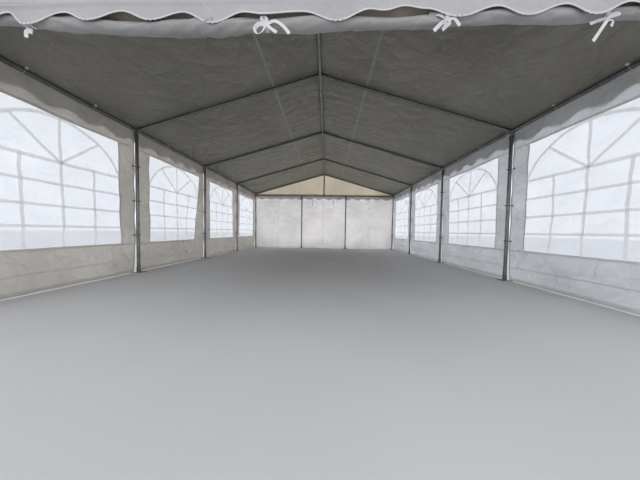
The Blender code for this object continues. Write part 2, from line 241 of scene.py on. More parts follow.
def add_mesh(name, points, faces, surfaces, sharp=40):
    """A mesh object from arrays. Points that no face uses are left out."""
    used, faces = np.unique(faces, return_inverse=True)
    faces = faces.reshape(-1, 4)
    mesh = bpy.data.meshes.new(name)
    mesh.from_pydata(points.reshape(-1, 3)[used].tolist(), [], faces.tolist())
    for surface in surfaces:
        mesh.materials.append(surface)
    mesh.shade_smooth()
    mesh.set_sharp_from_angle(angle=math.radians(sharp))
    made = bpy.data.objects.new(name, mesh)
    bpy.context.scene.collection.objects.link(made)
    return made


def thicken(made, thickness=CLOTH, inner_material=0):
    """Gives a sheet its thickness, on the side away from its normals."""
    solid = made.modifiers.new("thickness", "SOLIDIFY")
    solid.thickness = thickness
    solid.offset = -1
    solid.material_offset = inner_material


def settle(made, slot, *nodes):
    """Makes a piece ride on the tent and stand for the solids named. Its slot is not used."""
    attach(made, "root")
    if nodes:
        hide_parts(*nodes)
    return made


class Trim:
    """Collects strips, cords and small turned parts, and joins them into one piece."""

    def __init__(self):
        self.points = []
        self.faces = []
        self.count = 0

    def add(self, points, faces):
        self.points.append(points.reshape(-1, 3))
        self.faces.append(faces + self.count)
        self.count += len(self.points[-1])

    def rings(self, points, closed=False):
        """Skins a row of rings, given as (stations, corners, 3). The ends are capped unless it closes."""
        stations, corners = points.shape[:2]
        index = np.arange(stations * corners).reshape(stations, corners)
        if closed:
            index = np.vstack([index, index[:1]])
        index = np.hstack([index, index[:, :1]])
        quads = np.stack([index[:-1, :-1], index[:-1, 1:], index[1:, 1:], index[1:, :-1]], axis=-1)
        quads = quads.reshape(-1, 4)
        if not closed:
            half = corners // 2
            caps = []
            for row, turn in ((index[0], -1), (index[-1], 1)):
                for i in range(half - 1):
                    cap = [row[i], row[i + 1], row[corners - 2 - i], row[corners - 1 - i]]
                    caps.append(cap[::turn])
            quads = np.vstack([quads, np.array(caps)])
        self.add(points, quads)

    def strip(self, place, path, width, low, high, closed=False):
        """A flat strip on a sheet, between two depths inside it. The path is in the sheet's own plane."""
        path = np.asarray(path, float)
        run = np.gradient(path, axis=0)
        if closed:
            run = np.roll(path, -1, axis=0) - np.roll(path, 1, axis=0)
        run /= np.linalg.norm(run, axis=1)[:, None]
        side = np.stack([-run[:, 1], run[:, 0]], axis=1) * width / 2
        corners = []
        for reach, depth in ((-1, low), (1, low), (1, high), (-1, high)):
            flat = path + reach * side
            corners.append(place(flat[:, 0], flat[:, 1], depth))
        self.rings(np.stack(corners, axis=1), closed)

    def ribbon(self, path, across, width, thickness=0.001):
        """A free ribbon along a path in space. across points from edge to edge at each station."""
        path, across = np.asarray(path, float), np.asarray(across, float)
        across = across / np.linalg.norm(across, axis=1)[:, None]
        run = np.gradient(path, axis=0)
        up = np.cross(run, across)
        up /= np.linalg.norm(up, axis=1)[:, None]
        corners = [
            path + across * width / 2 * a + up * thickness / 2 * b for a, b in ((-1, -1), (1, -1), (1, 1), (-1, 1))
        ]
        self.rings(np.stack(corners, axis=1))

    def cord(self, path, radius, closed=False, sides=8):
        """A round cord along a path in space."""
        path = np.asarray(path, float)
        run = np.roll(path, -1, axis=0) - np.roll(path, 1, axis=0) if closed else np.gradient(path, axis=0)
        run /= np.linalg.norm(run, axis=1)[:, None]
        helper = np.where(np.abs(run[:, 2:3]) > 0.9, [[1.0, 0.0, 0.0]], [[0.0, 0.0, 1.0]])
        side = np.cross(run, helper)
        side /= np.linalg.norm(side, axis=1)[:, None]
        up = np.cross(run, side)
        angles = np.arange(sides) * 2 * math.pi / sides
        rings = path[:, None] + radius * (
            side[:, None] * np.cos(angles)[None, :, None] + up[:, None] * np.sin(angles)[None, :, None]
        )
        self.rings(rings, closed)

    def turned(self, centre, axis, profile, sides=14):
        """A turned part: profile is a list of (distance along the axis, radius)."""
        frame_of = Vector((0, 0, 1)).rotation_difference(Vector(axis)).to_matrix()
        turn = np.array(frame_of)
        angles = np.arange(sides) * 2 * math.pi / sides
        rings = []
        for along, radius in profile:
            ring = np.stack([radius * np.cos(angles), radius * np.sin(angles), np.full(sides, along)], axis=-1)
            rings.append(ring @ turn.T + np.asarray(centre, float))
        self.rings(np.stack(rings))

    def make(self, name, surface, slot, sharp=40):
        made = add_mesh(name, np.vstack(self.points), np.vstack(self.faces), [surface], sharp)
        return settle(made, slot)


# Materials

class Shader:
    """Adds and links the nodes of one material."""

    def __init__(self, name):
        self.material = bpy.data.materials.new(name)
        self.material.use_nodes = True
        self.tree = self.material.node_tree
        self.tree.nodes.clear()
        self.place = self.node("ShaderNodeTexCoord").outputs["Object"]

    def node(self, kind, inputs=None, **settings):
        made = self.tree.nodes.new(kind)
        for key, value in settings.items():
            setattr(made, key, value)
        for key, value in (inputs or {}).items():
            self.put(made.inputs[key], value)
        return made

    def put(self, socket, value):
        if isinstance(value, bpy.types.NodeSocket):
            self.tree.links.new(value, socket)
        else:
            socket.default_value = value

    def noise(self, scale, detail=3.0, roughness=0.5, vector=None, distortion=0.0):
        made = self.node("ShaderNodeTexNoise", {
            "Vector": vector or self.place, "Scale": scale, "Detail": detail, "Roughness": roughness,
            "Distortion": distortion,
        })
        return made.outputs["Fac"]

    def cells(self, scale, feature="DISTANCE_TO_EDGE", vector=None):
        made = self.node(
            "ShaderNodeTexVoronoi", {"Vector": vector or self.place, "Scale": scale}, feature=feature,
        )
        return made.outputs["Distance"]

    def warped(self, amount, scale):
        """The place, pushed about by a noise, so that patterns on it aren't straight."""
        push = self.node("ShaderNodeTexNoise", {"Vector": self.place, "Scale": scale, "Detail": 2.0})
        return self.node("ShaderNodeMixRGB", {
            "Fac": amount, "Color1": self.place, "Color2": push.outputs["Color"],
        }, blend_type="LINEAR_LIGHT").outputs["Color"]

    def axis(self, letter):
        return self.node("ShaderNodeSeparateXYZ", {"Vector": self.place}).outputs[letter]

    def math(self, operation, first, second=0.0):
        return self.node("ShaderNodeMath", {0: first, 1: second}, operation=operation).outputs[0]

    def span(self, value, low, high, to_low=0.0, to_high=1.0):
        return self.node("ShaderNodeMapRange", {
            "Value": value, "From Min": low, "From Max": high, "To Min": to_low, "To Max": to_high,
        }, clamp=True).outputs["Result"]

    def mix(self, share, first, second):
        return self.node("ShaderNodeMixRGB", {"Fac": share, "Color1": first, "Color2": second}).outputs["Color"]

    def bump(self, height, distance, strength=1.0, below=None):
        inputs = {"Height": height, "Distance": distance, "Strength": strength}
        if below is not None:
            inputs["Normal"] = below
        return self.node("ShaderNodeBump", inputs).outputs["Normal"]

    def weave(self, axes, pitch):
        """The fine grid of threads inside a coated sheet."""
        threads = []
        for letter in axes:
            turned = self.math("MULTIPLY", self.axis(letter), 2 * math.pi / pitch)
            threads.append(self.math("SINE", turned))
        return self.math("MAXIMUM", *threads)

    def output(self, surface):
        self.node("ShaderNodeOutputMaterial", {"Surface": surface})
        return self.material


def rgb(red, green, blue):
    return (red, green, blue, 1.0)


def sheet_material(name, light, dark, through, share, axes, crumple=0.004, roughness=0.42, foot=0.0, marks=0.25):
    """Coated woven sheeting: threads, crumple facets, pale crease marks, stains, and light let through by a share."""
    shader = Shader(name)
    stain = shader.noise(1.3, 4.0, 0.55)
    colour = shader.mix(shader.span(stain, 0.35, 0.7), light, dark)
    mark = shader.math(
        "MULTIPLY", shader.span(shader.cells(1.9, vector=shader.warped(0.25, 1.1)), 0.0, 0.012, marks, 0.0),
        shader.span(shader.noise(2.6, 2.0), 0.42, 0.6),
    )
    colour = shader.mix(mark, colour, rgb(*(min(1.0, 1.6 * v) for v in light[:3])))
    if foot:
        dirt = shader.math(
            "MULTIPLY", shader.span(shader.axis("Z"), 0.45, 0.0, 0.0, foot), shader.noise(6.0, 5.0, 0.65),
        )
        colour = shader.mix(dirt, colour, rgb(0.23, 0.22, 0.19))
    place = shader.warped(0.12, 1.7)
    facets = shader.math(
        "ADD", shader.cells(3.1, vector=place), shader.math("MULTIPLY", shader.cells(8.5, vector=place), 0.35),
    )
    normal = shader.bump(facets, crumple * 4)
    normal = shader.bump(shader.noise(26.0, 2.0), 0.0009, below=normal)
    normal = shader.bump(shader.weave(axes, 0.0042), 0.00012, below=normal)
    gloss = shader.span(shader.noise(9.0, 4.0, 0.6), 0.3, 0.75, roughness - 0.07, roughness + 0.12)
    body = shader.node("ShaderNodeBsdfPrincipled", {
        "Base Color": colour, "Roughness": gloss, "Normal": normal, "Specular IOR Level": 0.45,
        "Sheen Weight": 0.08, "Sheen Roughness": 0.5,
    }).outputs[0]
    faint = shader.mix(shader.span(stain, 0.3, 0.75), rgb(*through[:3]), rgb(*(0.84 * v for v in through[:3])))
    faint = shader.mix(mark, faint, rgb(*(0.5 * v for v in through[:3])))
    glow = shader.node("ShaderNodeBsdfTranslucent", {"Color": faint, "Normal": normal}).outputs[0]
    both = shader.node("ShaderNodeMixShader", {0: share, 1: body, 2: glow}).outputs[0]
    return shader.output(both)


def film_material():
    """Clear window film, a little milky, with fine short creases."""
    shader = Shader("window_film")
    place = shader.warped(0.10, 2.3)
    creases = shader.math(
        "ADD", shader.cells(7.0, vector=place), shader.math("MULTIPLY", shader.cells(19.0, vector=place), 0.4),
    )
    normal = shader.bump(creases, 0.008)
    normal = shader.bump(shader.noise(14.0, 3.0), 0.002, below=normal)
    haze = shader.span(shader.noise(2.2, 4.0, 0.6), 0.3, 0.75, 0.30, 0.52)
    glints = shader.span(shader.cells(7.0, vector=place), 0.0, 0.02, 0.2, 0.0)
    body = shader.node("ShaderNodeBsdfPrincipled", {
        "Base Color": rgb(0.86, 0.90, 0.95), "Roughness": 0.16, "Normal": normal, "IOR": 1.5,
        "Alpha": shader.math("ADD", haze, glints),
    }).outputs[0]
    glow = shader.node("ShaderNodeBsdfTranslucent", {"Color": rgb(0.90, 0.94, 1.0), "Normal": normal}).outputs[0]
    return shader.output(shader.node("ShaderNodeMixShader", {0: 0.46, 1: body, 2: glow}).outputs[0])


def steel_material():
    """Galvanised tube: spangled zinc, dull patches, fine bumps."""
    shader = Shader("galvanised_tube")
    spangle = shader.node(
        "ShaderNodeTexVoronoi", {"Vector": shader.place, "Scale": 85.0}, feature="F1",
    ).outputs["Color"]
    grey = shader.node("ShaderNodeRGBToBW", {"Color": spangle}).outputs[0]
    patches = shader.noise(7.0, 5.0, 0.6)
    # The zinc is painted dark grey, far darker than galvanised steel. This is painted shade standing in for the dark
    # surroundings the tubes reflect; the darker patches among it are dull zinc.
    base = shader.mix(shader.span(patches, 0.35, 0.7), rgb(0.21, 0.215, 0.22), rgb(0.12, 0.122, 0.125))
    colour = shader.mix(shader.span(grey, 0.2, 0.9, 0.0, 0.35), base, rgb(0.34, 0.35, 0.36))
    gloss = shader.math("ADD", shader.span(patches, 0.3, 0.75, 0.20, 0.36), shader.math("MULTIPLY", grey, 0.12))
    normal = shader.bump(grey, 0.0001)
    normal = shader.bump(shader.noise(38.0, 4.0, 0.6), 0.0005, below=normal)
    body = shader.node("ShaderNodeBsdfPrincipled", {
        "Base Color": colour, "Roughness": gloss, "Metallic": 0.9, "Normal": normal,
    }).outputs[0]
    return shader.output(body)


def tape_material(name, light, dark, share, through, roughness=0.5):
    """Sewn or welded tape and webbing, with cross threads and rubbed places."""
    shader = Shader(name)
    colour = shader.mix(shader.span(shader.noise(11.0, 4.0, 0.6), 0.35, 0.7), light, dark)
    normal = shader.bump(shader.noise(45.0, 3.0), 0.0008)
    normal = shader.bump(shader.weave("YZ", 0.0022), 0.0001, below=normal)
    gloss = shader.span(shader.noise(20.0, 3.0), 0.3, 0.7, roughness - 0.06, roughness + 0.1)
    body = shader.node("ShaderNodeBsdfPrincipled", {
        "Base Color": colour, "Roughness": gloss, "Normal": normal,
    }).outputs[0]
    glow = shader.node("ShaderNodeBsdfTranslucent", {"Color": through, "Normal": normal}).outputs[0]
    return shader.output(shader.node("ShaderNodeMixShader", {0: share, 1: body, 2: glow}).outputs[0])


def moulded_material(name, colour, worn, roughness):
    """Moulded plastic or elastic: slight orange peel and rubbed tops."""
    shader = Shader(name)
    tone = shader.mix(shader.span(shader.noise(60.0, 4.0, 0.6), 0.45, 0.75), colour, worn)
    normal = shader.bump(shader.noise(220.0, 2.0), 0.0003)
    gloss = shader.span(shader.noise(90.0, 3.0), 0.3, 0.7, roughness - 0.05, roughness + 0.1)
    return shader.output(shader.node("ShaderNodeBsdfPrincipled", {
        "Base Color": tone, "Roughness": gloss, "Normal": normal,
    }).outputs[0])


ROOF_OUTSIDE = sheet_material(
    "roof_outside", rgb(0.80, 0.80, 0.78), rgb(0.70, 0.70, 0.67), rgb(0.75, 0.75, 0.72), 0.22, "XY",
)
# The roof's inner face is the same white sheeting as its outer face, painted dark grey-brown as painted shade, so the
# underside looks shaded from inside the tent.
ROOF_INSIDE_PAINTED_SHADE = sheet_material(
    "roof_inside_painted_shade", rgb(0.225, 0.213, 0.180), rgb(0.175, 0.165, 0.140), rgb(0.46, 0.44, 0.38), 0.18, "XY",
    crumple=0.016, marks=0.7,
)
# The side valances are cut from the roof's sheeting, but they let through far more light than the roof does. This is
# painted light that brightens the band of wall below them.
VALANCE_SHEET = sheet_material(
    "valance_sheet_painted_light", rgb(0.78, 0.775, 0.76), rgb(0.70, 0.69, 0.67), rgb(0.80, 0.785, 0.76), 0.60, "YZ",
)
# The two side walls are one sheeting. The right one has a bluer tone and lets through more and bluer light than the
# left, as painted light for the brighter daylight on that side.
WALL_SHEETS = {
    -1: sheet_material(
        "wall_sheet_left", rgb(0.78, 0.77, 0.745), rgb(0.70, 0.69, 0.665), rgb(0.85, 0.82, 0.775), 0.58, "YZ", foot=0.3,
        crumple=0.012, marks=0.5,
    ),
    1: sheet_material(
        "wall_sheet_right", rgb(0.76, 0.775, 0.79), rgb(0.69, 0.70, 0.715), rgb(0.90, 0.91, 0.925), 0.70, "YZ",
        foot=0.3, crumple=0.012, marks=0.5,
    ),
}
BACK_SHEET = sheet_material(
    "back_sheet", rgb(0.82, 0.81, 0.80), rgb(0.76, 0.755, 0.75), rgb(0.90, 0.885, 0.88), 0.57, "XZ", foot=0.3,
    crumple=0.010, marks=0.5,
)
# The front gable and its valance are the same white sheeting as the back gable, painted mid grey and letting little
# light through, as painted shade.
FRONT_SHEET = sheet_material(
    "front_sheet_painted_shade", rgb(0.56, 0.55, 0.555), rgb(0.47, 0.46, 0.465), rgb(0.7, 0.7, 0.7), 0.2, "XZ", crumple=0.006,
)
GABLE_SHEET = sheet_material(
    "gable_sheet", rgb(0.80, 0.79, 0.76), rgb(0.74, 0.72, 0.68), rgb(0.86, 0.80, 0.68), 0.5, "XZ",
)
# The rolled front wall is the same white sheeting as the other walls, painted dark grey as painted shade, with little
# light let through.
SHADED_ROLL_SHEET = sheet_material(
    "roll_sheet", rgb(0.40, 0.395, 0.385), rgb(0.28, 0.28, 0.28), rgb(0.50, 0.50, 0.50), 0.08, "XZ",
    crumple=0.007, roughness=0.36,
)
# The top of the front wall, between the beam and the roll, is the same sheeting painted dark beige, as painted shade
# from the valance and beam above it.
FLAP_SHEET = sheet_material(
    "flap_sheet_painted_shade", rgb(0.40, 0.345, 0.275), rgb(0.36, 0.31, 0.25), rgb(0.6, 0.5, 0.4), 0.25, "XZ", crumple=0.002,
)
FILM = film_material()
STEEL = steel_material()
BAR_TAPE = tape_material("bar_tape", rgb(0.88, 0.87, 0.86), rgb(0.82, 0.81, 0.80), 0.84, rgb(0.99, 0.985, 0.97))
SEAM_TAPE = tape_material("seam_tape", rgb(0.80, 0.80, 0.785), rgb(0.72, 0.72, 0.70), 0.74, rgb(0.95, 0.94, 0.92))
# The roof's seam tape is doubled white sheeting, painted dark grey as painted shade to match the shaded underside of
# the roof.
ROOF_TAPE = tape_material("roof_seam_tape_painted_shade", rgb(0.34, 0.335, 0.32), rgb(0.28, 0.275, 0.26), 0.1, rgb(0.4, 0.38, 0.34))
BINDING = tape_material("binding_tape", rgb(0.84, 0.84, 0.84), rgb(0.74, 0.74, 0.75), 0.25, rgb(0.8, 0.8, 0.8))
RIBBON = tape_material("ribbon", rgb(0.88, 0.88, 0.88), rgb(0.80, 0.80, 0.82), 0.2, rgb(0.85, 0.85, 0.85))
BALL = moulded_material("tie_ball", rgb(0.72, 0.71, 0.68), rgb(0.60, 0.59, 0.56), 0.35)
ELASTIC = moulded_material("elastic", rgb(0.62, 0.62, 0.60), rgb(0.50, 0.50, 0.49), 0.7)
DARK_CLIP = moulded_material("dark_clip", rgb(0.035, 0.035, 0.04), rgb(0.09, 0.09, 0.09), 0.45)


# The roof sheet with its side valances

def hem_height(along):
    return HEM_TIP + HEM_RISE * (1 + np.cos(2 * math.pi * along / HEM_PITCH)) / 2


def bay_share(y):
    """0 at every frame line, 1 in the middle of a bay."""
    return np.sin(math.pi * ((y + HALF_LENGTH) / BAY % 1))


def roof_slack(x, y):
    """How far the roof hangs below its straight slope."""
    share = np.abs(x) / ROOF_TURN_X
    between = bay_share(y)
    slope = np.clip(np.sin(math.pi * np.clip(share, 0, 1)), 0, 1) ** 0.8
    sag = 0.022 * between * slope
    sag = sag + 0.0035 * between**0.5 * slope * ripple(x, y, 0.8, 3.1)
    clear_of_ridge = smooth_step(np.abs(x), 0.03, 0.14)
    left_reach = smooth_step(x, -0.80, -0.68) * (x <= 0)
    right_reach = smooth_step(x, 1.30, 0.55) * (x > 0)
    second = smooth_step(y, -2.02, -1.90) * smooth_step(y, 0.0, -0.15)
    third = smooth_step(y, 0.05, 0.20) * smooth_step(y, 1.95, 1.75)
    drift = 0.03 * np.sin(2.1 * x)
    pleats = second * np.abs(np.sin(math.pi * (y + drift) / 0.2)) ** 1.4 * 0.013
    pleats = pleats + third * np.abs(np.sin(math.pi * (y + drift) / 0.3)) ** 1.4 * 0.008
    sag = sag - pleats * clear_of_ridge * (left_reach + right_reach)
    for step, reach in ((0.07, 2.4), (0.13, 1.9), (0.20, 1.2)):
        sag = sag - fold(x, y, (-0.10, -2.0 - step), (-reach, -2.0 - 1.2 * step), 0.026, 0.008)
        sag = sag - fold(x, y, (0.15, -2.0 - step), (reach, -2.0 - 1.1 * step), 0.026, 0.006)
    sag = sag - fold(x, y, (-0.12, -2.55), (-0.70, -3.75), 0.030, 0.011)
    sag = sag - fold(x, y, (-0.10, -2.30), (-0.55, -3.10), 0.028, 0.009)
    sag = sag - fold(x, y, (-0.30, -2.35), (-1.50, -3.30), 0.028, 0.007)
    sag = sag - fold(x, y, (0.12, -2.35), (0.95, -3.6), 0.030, 0.008)
    return sag - fold(x, y, (0.30, -2.6), (2.4, -3.5), 0.030, 0.008)


def roof_place(x, y, inward=0.0):
    x, y = np.broadcast_arrays(np.asarray(x, float), np.asarray(y, float))
    away = np.tanh(x / 0.02)
    z = ROOF_TOP - np.sqrt(x * x + 1e-6) * PITCH - roof_slack(x, y)
    return np.stack([x - away * inward * PITCH_SIN, y, z - inward * PITCH_COS], axis=-1)


def valance_place(side):
    def place(y, z, inward=0.0):
        y, z = np.broadcast_arrays(np.asarray(y, float), np.asarray(z, float))
        drop = np.clip((ROOF_TURN_Z - z) / (ROOF_TURN_Z - hem_height(y)), 0, 1.1)
        flutter = 0.004 * drop * (1 + 0.9 * ripple(y, 0 * y, 0.55, 2.0 + side))
        flutter = flutter + 0.004 * drop * (1 + np.cos(2 * math.pi * y / HEM_PITCH + math.pi))
        return np.stack([side * (ROOF_TURN_X + np.maximum(flutter, 0) - inward), y, z], axis=-1)
    return place


def build_roof():
    along = steps(-ROOF_END_Y, ROOF_END_Y, 0.027)
    across = steps(0.0, ROOF_TURN_X - 0.012, 0.06)
    half = {}
    for side in (-1, 1):
        x, y = np.meshgrid(side * across, along, indexing="ij")
        slope = roof_place(x, y)
        start = slope[-1]
        corner = np.stack([np.full_like(along, side * ROOF_TURN_X), along, np.full_like(along, ROOF_TURN_Z)], axis=-1)
        hem = hem_height(along)
        valance = []
        place = valance_place(side)
        for share in (0.06, 0.2, 0.4, 0.6, 0.8, 1.0):
            valance.append(place(along, ROOF_TURN_Z + (hem - ROOF_TURN_Z) * share))
        bend = []
        for t in (0.3, 0.6):
            bend.append((1 - t) ** 2 * start + 2 * t * (1 - t) * corner + t * t * valance[0])
        half[side] = np.concatenate([slope, np.array(bend), np.array(valance)])
    points = np.concatenate([half[-1][:0:-1], half[1]])
    faces = grid_faces(*points.shape[:2])
    made = add_mesh("roof_sheet", points, faces[:, ::-1], [ROOF_OUTSIDE, ROOF_INSIDE_PAINTED_SHADE, VALANCE_SHEET, VALANCE_SHEET])
    strips = np.zeros((len(points) - 1, len(along) - 1), int)
    valance_strips = len(bend) + len(valance) - 1
    strips[:valance_strips] = strips[-valance_strips:] = 2
    made.data.polygons.foreach_set("material_index", strips.ravel())
    thicken(made, inner_material=1)
    settle(made, "white_sheet", "roof_cover")
    trim = Trim()
    for x in (-SEAM_X, SEAM_X):
        path = np.stack([np.full_like(along, x), along], axis=-1)
        trim.strip(roof_place, path, 0.035, *ROOF_TAPE_DEPTHS)
    seams = trim.make("roof_seams", ROOF_TAPE, "white_sheet")
    bindings = Trim()
    fine = steps(-ROOF_END_Y, ROOF_END_Y, 0.02)
    for side in (-1, 1):
        path = np.stack([fine, hem_height(fine) + 0.006], axis=-1)
        bindings.strip(valance_place(side), path, 0.015, *HEM_DEPTHS)
    hems = bindings.make("valance_bindings", BINDING, "white_sheet")
    rests = ["ridge_pole", "eave_rail_left", "eave_rail_right"]
    rests += [f"rafter_{word}_{k}" for word in WORDS.values() for k in range(1, 6)]


# The gables, each with its scalloped valance

def front_hem(x):
    return eased(x, FRONT_HEM)


def gable_place(end):
    def place(x, z, inward=0.0):
        x, z = np.broadcast_arrays(np.asarray(x, float), np.asarray(z, float))
        free = smooth_step(z, 2.32, 2.16)
        out = 0.006 * free * (1 + ripple(x, 0 * x, 0.7, 5.0 + end))
        out = out + 0.0015 * (1 + ripple(x, z, 0.5, 1.0 + end)) * smooth_step(np.abs(x), 2.95, 2.6)
        if end < 0:
            for level, slope, start, stop, high in (
                (2.245, 0.010, -3.0, -1.35, 0.009), (2.222, -0.012, -2.6, 0.2, 0.007),
                (2.262, 0.004, -2.2, 0.9, 0.005), (2.205, 0.020, 1.7, 2.9, 0.006), (2.275, 0.0, -3.0, 3.0, 0.004),
            ):
                line = level + slope * x + 0.006 * np.sin(2.1 * x + 9 * level)
                reach = smooth_step(x, start, start + 0.4) * smooth_step(x, stop, stop - 0.5)
                out = out + high * reach * np.exp(-(((z - line) / 0.011) ** 2))
            for tip in (-1.949, -1.50, -1.067, -0.644, 0.186, 0.97, 1.40, 1.815):
                near = np.exp(-(((x - tip) / 0.07) ** 2)) * smooth_step(z, 2.19, 2.11)
                out = out + 0.0035 * near * (1 + np.sin((x - tip) * 190 + 3 * tip))
        return np.stack([x, end * (GABLE_Y + np.maximum(out, 0) - inward), z], axis=-1)
    return place


def build_gable(end, word):
    place = gable_place(end)
    hem_line = hem_height if end > 0 else front_hem
    x = steps(-GABLE_HALF, GABLE_HALF, 0.016)
    low = hem_line(x)
    high = GABLE_TOP - np.abs(x) * PITCH
    rows = [low + (2.30 - low) * share for share in np.linspace(0, 1, 19)]
    rows += [2.30 + (high - 2.30) * share for share in np.linspace(0, 1, 16)[1:]]
    points = place(x[None, :], np.stack(rows))
    faces = grid_faces(*points.shape[:2])
    if end > 0:
        faces = faces[:, ::-1]
    made = add_mesh(f"gable_sheet_{word}", points, faces, [GABLE_SHEET if end > 0 else FRONT_SHEET])
    thicken(made)
    settle(made, "white_sheet", f"gable_{word}")
    trim = Trim()
    fine = steps(-GABLE_HALF, GABLE_HALF, 0.015)
    path = np.stack([fine, hem_line(fine) + 0.005], axis=-1)
    trim.strip(place, path, 0.010, *HEM_DEPTHS)
    hem = trim.make(f"gable_binding_{word}", BINDING, "white_sheet")


# The side walls with their windows

WINDOW_SLANTS = {(-1, 2): 0.20, (-1, 1): -0.03, (1, 2): 0.04, (-1, 3): -0.04, (1, 3): 0.03}


def wall_place(side, bay):
    low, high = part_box(f"wall_{WORDS[side]}_{bay}")
    low_y, high_y = low.y, high.y
    centre = (low_y + high_y) / 2
    seed = 1.3 * bay + 0.7 * side
    slant = WINDOW_SLANTS.get((side, bay), 0.0)
    knots = (WALL_TOP, *BAND_HEIGHTS, 0.04)

    def place(y, z, inward=0.0):
        y, z = np.broadcast_arrays(np.asarray(y, float), np.asarray(z, float))
        share = (y - low_y) / (high_y - low_y)
        bow = 0.0
        for top, bottom, deep in zip(knots, knots[1:], (0.007, 0.014, 0.016, 0.018)):
            inside = np.clip((z - bottom) / (top - bottom), 0, 1)
            bow = bow + deep * np.sin(math.pi * inside) ** 2
        bow = bow + 0.030 * smooth_step(z, 0.42, 0.0) ** 2
        near = smooth_step(share, 0.30, 0.0)
        far = smooth_step(share, 0.70, 1.0)
        shifted = y + bow * (near * (1.0 + 0.25 * math.sin(seed)) - far * (1.0 + 0.25 * math.cos(seed)))
        tall = (z - 1.25) / 1.5
        pull = smooth_step(y, centre, centre + WINDOW_HALF) * smooth_step(y, high_y, centre + WINDOW_HALF)
        shifted = shifted + (slant * tall - 0.1 * abs(slant)) * pull
        shifted = shifted + 0.006 * np.sin(9.0 * z + seed) * near * smooth_step(share, 0.0, 0.12)
        post_clear = np.sin(math.pi * np.clip(share, 0, 1))
        hang = smooth_step(z, 2.27, 1.85)
        out = hang * post_clear * (0.012 * ripple(y, z, 1.3, seed) + 0.006 * ripple(y, 1.6 * z, 0.42, seed + 2))
        skirt = smooth_step(z, 0.55, 0.0)
        out = out + skirt * post_clear**0.5 * 0.011 * ripple(y, 0.3 * z, 0.45, seed + 4)
        ends = ((low_y, centre - WINDOW_HALF), (high_y, centre + WINDOW_HALF))
        for k, (edge, jamb) in enumerate(ends):
            for height in BAND_HEIGHTS:
                lean = 0.25 * math.sin(3 * height + seed + k)
                out = out + fold(y, z, (edge, height), (jamb, height + lean + 0.12), 0.028, 0.010)
                out = out + fold(y, z, (edge, height), (jamb, height + lean - 0.16), 0.025, 0.009)
            out = out + fold(y, z, (jamb, WINDOW_HEAD), (edge, WALL_TOP - 0.1), 0.03, 0.004)
            out = out + fold(y, z, (jamb, WINDOW_SILL), (edge, 0.05), 0.035, 0.014)
        out = np.maximum(out, -0.06 * post_clear) + 0.012 * skirt**2 * (1 - post_clear)
        return np.stack([side * (WALL_X + out - inward), shifted, z], axis=-1)

    return place, low_y, high_y, centre


def window_bars(centre):
    """The paths of the glazing bars of one window, in its plane, with their widths."""
    paths = [
        (((-WINDOW_HALF, z), (WINDOW_HALF, z)), wide)
        for z, wide in ((BAR_HUB, 0.036), (1.225, BAR_WIDTH), (0.97, BAR_WIDTH), (0.733, BAR_WIDTH))
    ]
    paths += [(((y, WINDOW_SILL), (y, BAR_HUB)), BAR_WIDTH) for y in (-0.36, 0.0, 0.36)]
    paths += [(((0.0, BAR_HUB), end), BAR_WIDTH) for end in ((0.0, 1.995), (-0.44, 1.857), (0.44, 1.857))]
    made = []
    for (start, end), wide in paths:
        count = max(3, int(math.dist(start, end) / 0.04))
        made.append((np.linspace(start, end, count) + (centre, 0.0), wide))
    reach = math.asin(0.715 / ARCH_RADIUS)
    angles = np.linspace(-reach, reach, 48)
    arch = np.stack([centre + ARCH_RADIUS * np.sin(angles), ARCH_CENTRE + ARCH_RADIUS * np.cos(angles)], axis=-1)
    made.append((arch, 0.034))
    return made


